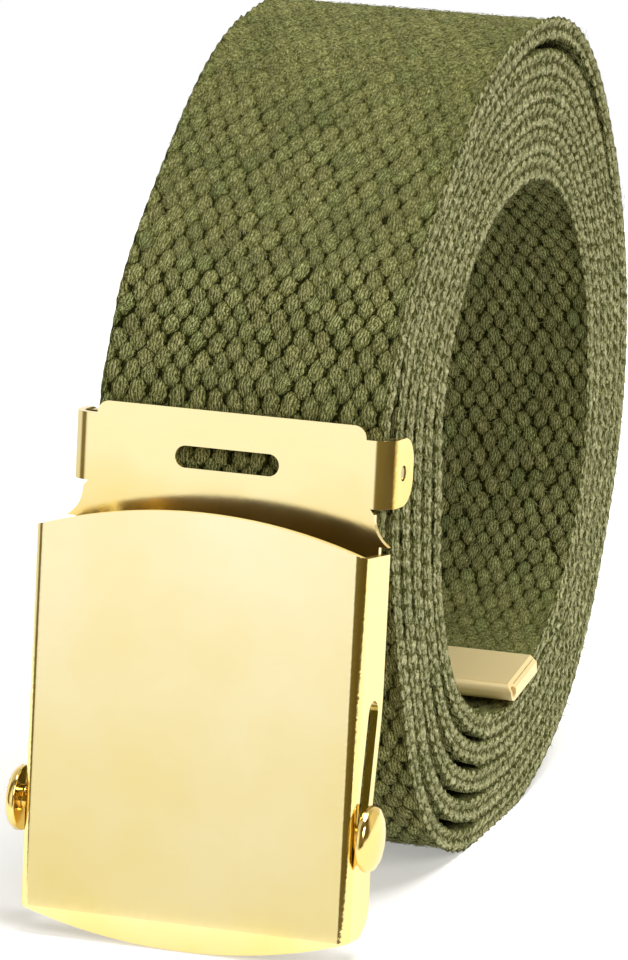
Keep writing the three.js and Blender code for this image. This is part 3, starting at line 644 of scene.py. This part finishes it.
def pressed_copy(node_name, name, edge, steps, material, corner=32, bends=()):
    """A copy of a CAD node that stands for it, with its edges rounded over. Each bend is a height on
    the buckle, from its bow line, and the degrees by which what hangs below turns back."""
    bpy.ops.object.select_all(action="DESELECT")
    piece = bpy.data.objects.new(name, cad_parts[node_name].data.copy())
    piece.data.materials.clear()
    bpy.context.collection.objects.link(piece)
    piece.select_set(True)
    bpy.context.view_layer.objects.active = piece
    bpy.ops.object.mode_set(mode="EDIT")
    bpy.ops.mesh.select_all(action="SELECT")
    bpy.ops.mesh.remove_doubles(threshold=0.000002)
    bpy.ops.mesh.dissolve_limited(angle_limit=radians(0.6))
    for height, turn in bends:
        hinge = BOW_LINE + BUCKLE_UP * height
        bpy.ops.mesh.select_all(action="SELECT")
        bpy.ops.mesh.bisect(plane_co=hinge, plane_no=BUCKLE_UP)
        bpy.ops.object.mode_set(mode="OBJECT")
        for corner_point in piece.data.vertices:
            drop = BUCKLE_UP.dot(corner_point.co - hinge)
            if drop < 0:
                corner_point.co -= BUCKLE_BACK * drop * tan(radians(turn))
        bpy.ops.object.mode_set(mode="EDIT")
    bpy.ops.mesh.customdata_custom_splitnormals_clear()
    bpy.ops.object.mode_set(mode="OBJECT")
    rounding = piece.modifiers.new("rounded_edges", "BEVEL")
    rounding.width = edge
    rounding.segments = steps
    rounding.limit_method = "ANGLE"
    rounding.angle_limit = radians(corner)
    rounding.use_clamp_overlap = True
    bpy.ops.object.shade_smooth_by_angle(angle=radians(corner))
    bpy.ops.object.modifier_apply(modifier="rounded_edges")
    flatness = piece.modifiers.new("flat_faces", "WEIGHTED_NORMAL")
    flatness.weight = 100
    flatness.keep_sharp = True
    bpy.ops.object.modifier_apply(modifier="flat_faces")
    piece.data.materials.append(material)
    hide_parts(node_name)
    return piece


mirror_brass = brass(
    "polished_brass", BRASS_TONE, BRASS_DEEP,
    low=-0.008, high=0.062, gloss=0.06, rough=0.13, grain=4e-7,
)
cover = pressed_copy(
    "cover_case", "cover_face", edge=0.0003, steps=3, material=mirror_brass,
    bends=[(0.0, 4), (-0.00025, 5)],
)
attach(cover, "belt")


# The bridge plate: flat brass sheet, thinner than the cover, that carries the web. It is slotted
# across and runs down behind the cover, and its two ears, bent back, hold the clamp's pins.

satin_brass = brass(
    "bright_brass", tone=(0.970, 0.830, 0.450), deep=(0.900, 0.640, 0.160),
    low=0.042, high=0.058, gloss=0.10, rough=0.22, grain=6e-7,
)
bridge = pressed_copy("bridge_plate", "bridge_sheet", edge=0.0002, steps=3, material=satin_brass)
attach(bridge, "belt")


# The clamp jaw: a plain brass bar that turns on two pins in the bridge's ears and presses the web
# against the bridge. Only the pins' ends show from outside.

jaw_brass = brass(
    "clamp_brass", tone=(0.80, 0.66, 0.36), deep=(0.62, 0.50, 0.26),
    low=0.04, high=0.07, gloss=0.25, rough=0.42, grain=1.5e-6,
)
jaw = pressed_copy("clamp_jaw", "clamp_bar", edge=0.00015, steps=2, material=jaw_brass)
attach(jaw, "belt")


# The locking bar: turned brass, with a plain neck through both flange slots and a domed head
# outside each. It slides up the slots to free the web.

bar_brass = brass(
    "turned_brass", tone=(0.950, 0.770, 0.350), deep=(0.900, 0.680, 0.250),
    low=0.0, high=0.02, gloss=0.10, rough=0.22, grain=4e-7,
)
bar = pressed_copy("locking_bar", "turned_bar", edge=0.0002, steps=3, material=bar_brass, corner=40)
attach(bar, "bar")


# The end cap: thin brass folded over the web's free end and closed by an open roll. Its plating is
# paler and duller than the buckle's.

cap_metal = brass(
    "cap_brass", tone=(0.96, 0.80, 0.44), deep=(0.93, 0.74, 0.38),
    low=0.010, high=0.022, gloss=0.34, rough=0.48, grain=8e-7, metallic=0.5,
)
cap = pressed_copy("end_cap", "tip_cap", edge=0.00012, steps=2, material=cap_metal)
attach(cap, "belt")


# The floor: a plain white table top, painted matt. Its front edge lies close before the buckle, so
# that the polished face mirrors the dim room below it.

FLOOR_SIDE = 0.42
FLOOR_MIDDLE = (0, 0.11, 0)

bpy.ops.mesh.primitive_plane_add(size=FLOOR_SIDE, location=FLOOR_MIDDLE)
floor = bpy.context.object
floor.name = "floor"
white = bpy.data.materials.new("white_floor")
white.use_nodes = True
paint = white.node_tree.nodes["Principled BSDF"].inputs
paint["Base Color"].default_value = (0.74, 0.74, 0.75, 1)
paint["Roughness"].default_value = 0.9
paint["Specular IOR Level"].default_value = 0.1
paint["Emission Color"].default_value = (1, 1, 1, 1)
paint["Emission Strength"].default_value = 0.34
floor.data.materials.append(white)


# The light: a white room that is dark to its left and right and dimmer below the table, as a studio
# is beyond its screens, with two large soft lamps.

ROOM_STRENGTH = 1.24
LAMP_AIM = (0, 0, 0.05)

world = bpy.data.worlds.new("white_room")
bpy.context.scene.world = world
world.use_nodes = True
tree = world.node_tree
around = node(tree, "ShaderNodeTexCoord").outputs["Generated"]
heading = node(tree, "ShaderNodeSeparateXYZ", {0: around}).outputs
bearing = reckon(tree, "ARCTAN2", heading[0], reckon(tree, "MULTIPLY", heading[1], -1.0))
bearing = reckon(tree, "MULTIPLY_ADD", bearing, 0.5 / pi, 0.5)
walls = ramp(tree, bearing, [
    (0.0, (0.80, 0.77, 0.68)), (0.265, (0.95, 0.94, 0.90)),
    (0.30, (0.22, 0.17, 0.06)), (0.36, (0.20, 0.15, 0.05)),
    (0.385, (1, 1, 1)), (0.485, (1, 1, 1)),
    (0.512, (0.17, 0.13, 0.04)), (0.80, (0.11, 0.08, 0.02)),
    (0.84, (0.80, 0.72, 0.50)), (0.92, (0.66, 0.60, 0.42)), (1.0, (0.80, 0.77, 0.68)),
])
height = reckon(tree, "MULTIPLY_ADD", heading[2], 0.5, 0.5)
levels = ramp(tree, height, [
    (0.0, (0.70, 0.70, 0.70)), (0.465, (0.74, 0.73, 0.70)), (0.497, (0.94, 0.94, 0.94)),
    (0.512, (1, 1, 1)), (0.68, (1, 1, 1)), (0.85, (0.6, 0.6, 0.6)),
])
room_light = tree.nodes["Background"]
tree.links.new(blend_colours(tree, 1.0, walls, levels, "MULTIPLY"), room_light.inputs[0])
room_light.inputs[1].default_value = ROOM_STRENGTH
backdrop = node(tree, "ShaderNodeBackground", {0: (1, 1, 1, 1), 1: 1.0})
straight_on = node(tree, "ShaderNodeLightPath").outputs["Is Camera Ray"]
choices = {0: straight_on, 1: room_light.outputs[0], 2: backdrop.outputs[0]}
seen = node(tree, "ShaderNodeMixShader", choices)
tree.links.new(seen.outputs[0], tree.nodes["World Output"].inputs[0])


def soft_lamp(name, place, size, power):
    """A round lamp with a soft edge to its shadows, turned towards the belt."""
    data = bpy.data.lights.new(name, "AREA")
    data.shape = "DISK"
    data.size = size
    data.energy = power
    lamp = bpy.data.objects.new(name, data)
    bpy.context.collection.objects.link(lamp)
    lamp.location = place
    lamp.rotation_euler = (Vector(LAMP_AIM) - Vector(place)).to_track_quat("-Z", "Y").to_euler()


soft_lamp("key_lamp", place=(1.15, -0.75, 0.75), size=0.7, power=11)
soft_lamp("top_lamp", place=(0.35, 0.1, 1.5), size=0.8, power=19)


# The camera: a long lens, a little to the right of the buckle and above it.

SIGHT_SIDE = Vector((0.9359, 0.3522, 0))
SIGHT_UP = Vector((-0.0973, 0.2586, 0.9611))
SIGHT_BACK = SIGHT_SIDE.cross(SIGHT_UP).normalized()
SIGHT_AIM = Vector((0.00156154, -0.01352368, 0.05))
SIGHT_DISTANCE = 0.962
LENS_MM = 280.99
SENSOR_MM = 36

camera_data = bpy.data.cameras.new("camera")
camera_data.lens = LENS_MM
camera_data.sensor_width = SENSOR_MM
camera_data.clip_start = 0.05
camera = bpy.data.objects.new("camera", camera_data)
bpy.context.collection.objects.link(camera)
turn = Matrix((SIGHT_SIDE, SIGHT_UP, SIGHT_BACK)).transposed().to_4x4()
camera.matrix_world = Matrix.Translation(SIGHT_AIM + SIGHT_BACK * SIGHT_DISTANCE) @ turn
bpy.context.scene.camera = camera
bpy.context.scene.view_settings.view_transform = "Standard"
